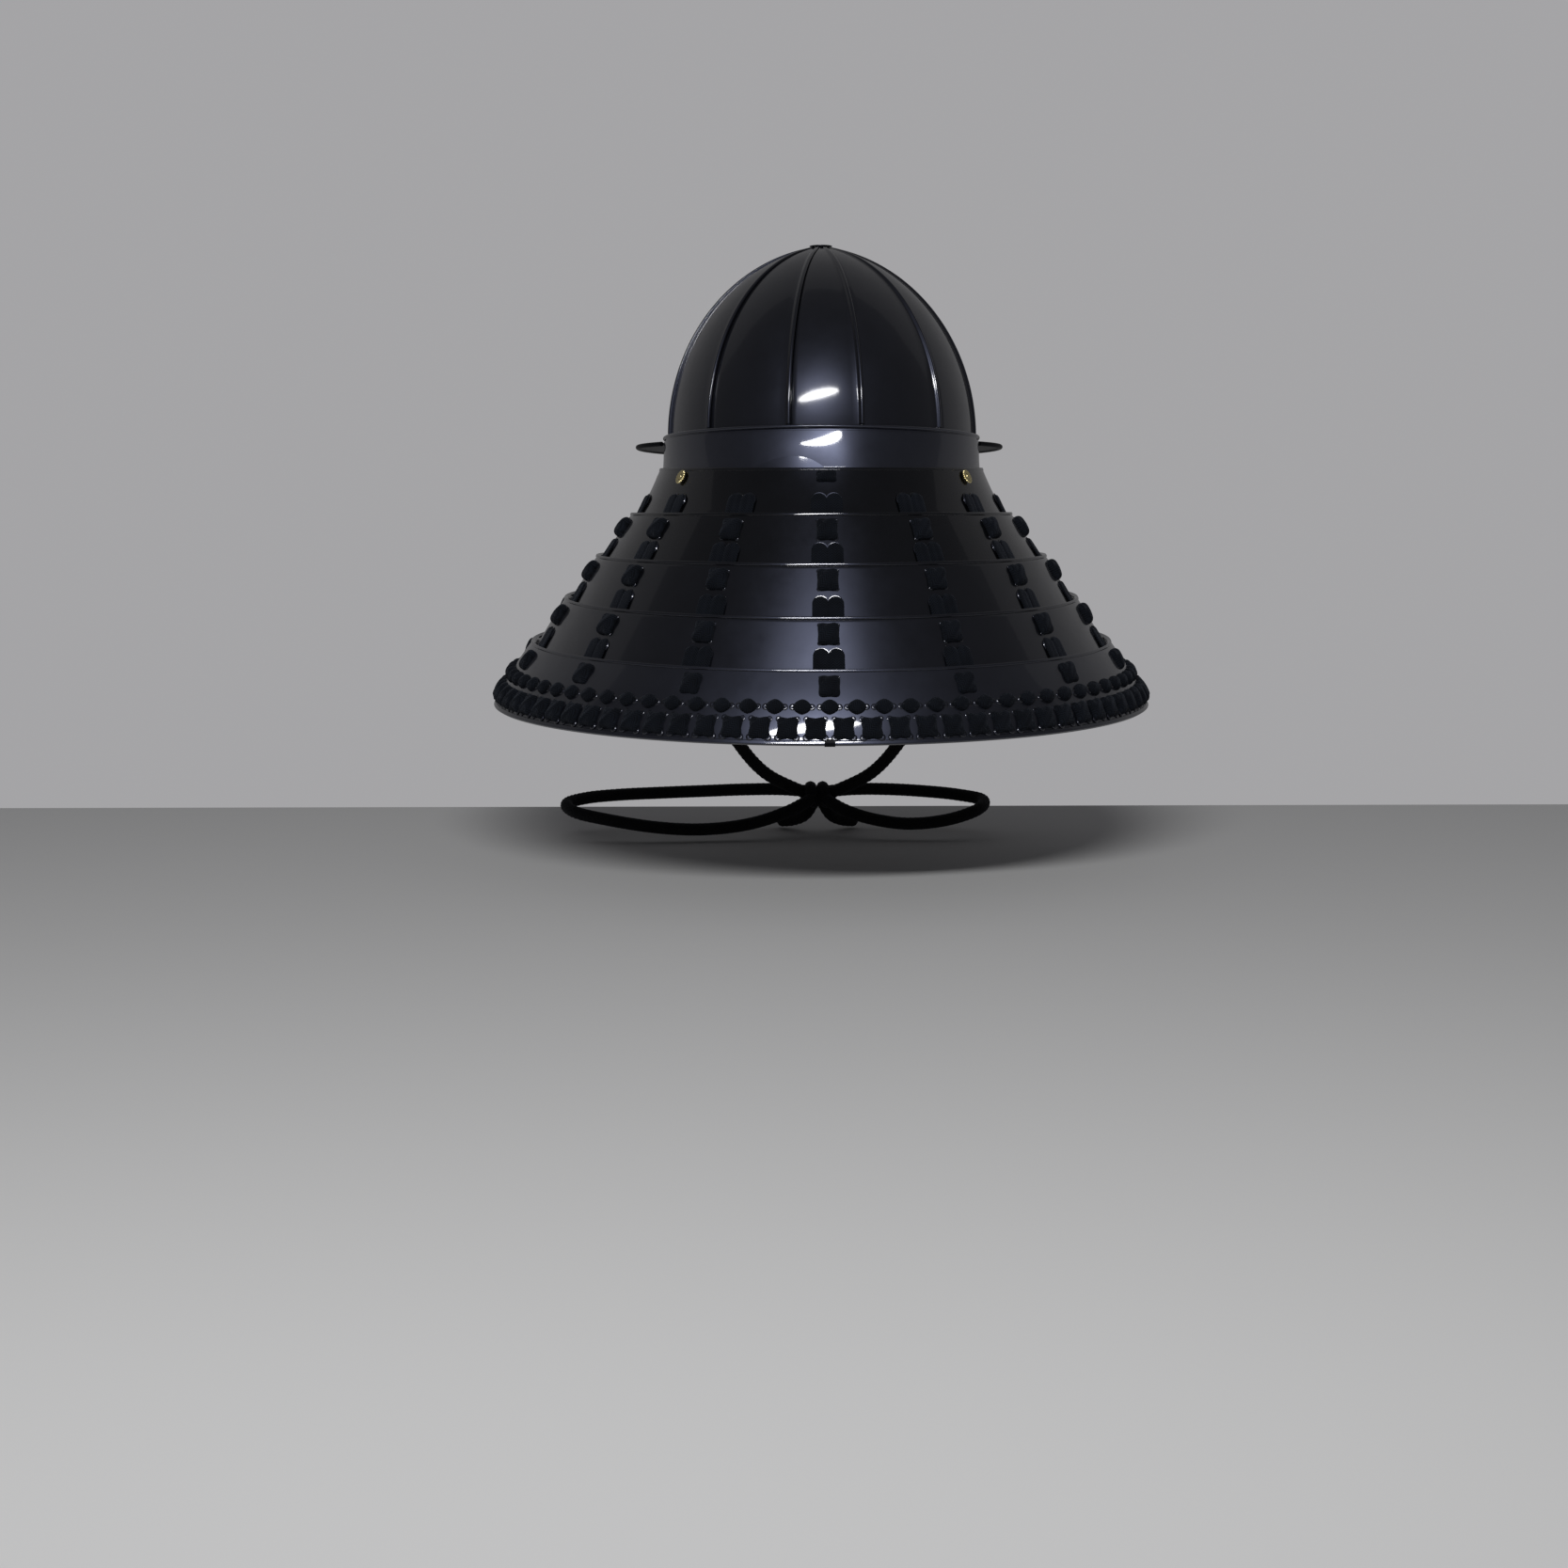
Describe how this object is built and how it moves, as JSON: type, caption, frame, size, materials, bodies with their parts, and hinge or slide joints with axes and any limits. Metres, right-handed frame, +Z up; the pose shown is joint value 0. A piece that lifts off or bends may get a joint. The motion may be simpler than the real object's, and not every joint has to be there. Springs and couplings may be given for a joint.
{
  "type": "kabuto samurai helmet",
  "caption": "Black lacquered samurai helmet: a pointed bowl of ribbed plates on a hip band, a flat visor, a flared neck guard of laced lames, and a chin cord tied in a bow.",
  "frame": {"origin": "centre of the bowl's base ring, where the helmet sits on a head", "axes": "+Z up with the neck guard's rim level, the visor towards -Y and the wearer's left towards +X"},
  "size_m": [0.4492, 0.3995, 0.4165],
  "materials": {
    "lacquer": "semi-gloss black lacquer",
    "lace": "matte dark navy braid",
    "gilt": "gilt",
    "iron": "blackened",
    "cord": "matte black twisted cord"
  },
  "bodies": {
    "root": {"bowl_plate_01": "lacquer", "bowl_plate_02": "lacquer", "bowl_plate_03": "lacquer", "bowl_plate_04": "lacquer", "bowl_plate_05": "lacquer", "bowl_plate_06": "lacquer", "bowl_plate_07": "lacquer", "bowl_plate_08": "lacquer", "bowl_plate_09": "lacquer", "bowl_plate_10": "lacquer", "bowl_plate_11": "lacquer", "bowl_plate_12": "lacquer", "crown_eyelet": "lacquer", "visor": "lacquer", "neck_lame_1": "lacquer", "neck_lame_2": "lacquer", "neck_lame_3": "lacquer", "neck_lame_4": "lacquer", "neck_lame_5": "lacquer", "rim_clip": "lacquer", "hip_band": "lacquer", "lace_column_1": "lace", "lace_column_2": "lace", "lace_column_3": "lace", "lace_column_4": "lace", "lace_column_5": "lace", "lace_column_6": "lace", "lace_column_7": "lace", "lace_column_8": "lace", "lace_column_9": "lace", "back_knot": "lace", "rivet_1": "gilt", "rivet_2": "gilt", "rivet_3": "gilt", "rivet_4": "gilt", "visor_rivet_1": "iron", "visor_rivet_2": "iron", "visor_rivet_3": "iron", "chin_cord_left": "cord", "chin_cord_right": "cord", "bow_loop_left": "cord", "bow_loop_right": "cord", "bow_end_left": "cord", "bow_end_right": "cord", "bow_knot": "cord", "cord_tab_left": "cord", "cord_tab_right": "cord"}
  },
  "joints": []
}
